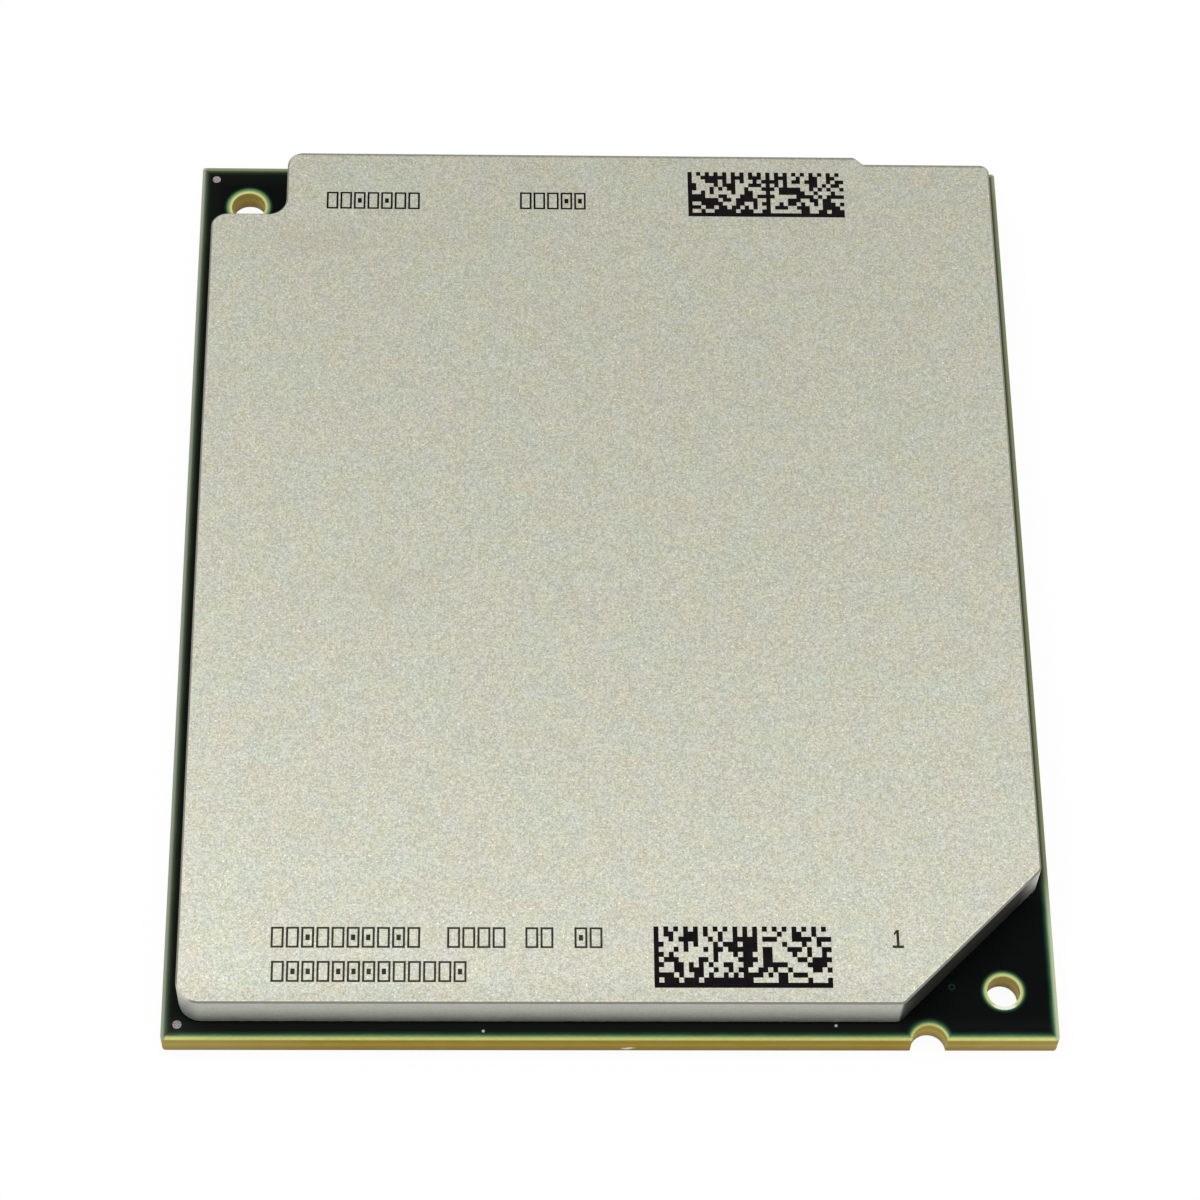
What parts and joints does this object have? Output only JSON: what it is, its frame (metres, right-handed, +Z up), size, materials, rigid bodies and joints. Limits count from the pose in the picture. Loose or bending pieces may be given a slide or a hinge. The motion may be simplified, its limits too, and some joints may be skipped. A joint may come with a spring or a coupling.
{
  "type": "computer processor",
  "caption": "Processor module: layered board with locating holes, keying notch and gold land grid, under a blasted metal heat-spreader lid with a chamfered corner.",
  "frame": {"origin": "centre of the board's underside, which is flush with the lands", "axes": "+X to the right and +Y to the back edge seen from above with the keying notch in front, +Z up through the lid"},
  "size_m": [0.0716, 0.0844, 0.006],
  "materials": {
    "laminate": "cut glass-fibre laminate, layers showing at the edges",
    "solder_mask": "near-black green solder mask, satin",
    "mark_metal": "plated position marks, dull",
    "lid_nickel": "bead-blasted nickel plate, satin and finely mottled",
    "seal_adhesive": "black silicone adhesive",
    "silicon": "polished silicon",
    "underfill_resin": "black epoxy with a concave fillet",
    "thermal_pad": "grey thermal compound",
    "ceramic": "fired ceramic",
    "tin": "tinned terminals",
    "land_gold": "gold flash over nickel",
    "print_ink": "black marking on the lid, matt"
  },
  "bodies": {
    "root": {"substrate": "laminate", "solder_mask": "solder_mask", "position_marks": "mark_metal", "lid": "lid_nickel", "lid_seal": "seal_adhesive", "die_front": "silicon", "die_rear": "silicon", "underfill_front": "underfill_resin", "underfill_rear": "underfill_resin", "thermal_pad_front": "thermal_pad", "thermal_pad_rear": "thermal_pad", "capacitor_bodies_left": "ceramic", "capacitor_bodies_right": "ceramic", "capacitor_bodies_front": "ceramic", "capacitor_bodies_rear": "ceramic", "capacitor_bodies_middle": "ceramic", "capacitor_terminals_left": "tin", "capacitor_terminals_right": "tin", "capacitor_terminals_front": "tin", "capacitor_terminals_rear": "tin", "capacitor_terminals_middle": "tin", "lands_front_left": "land_gold", "lands_front_right": "land_gold", "lands_rear_left": "land_gold", "lands_rear_right": "land_gold"}
  },
  "joints": []
}
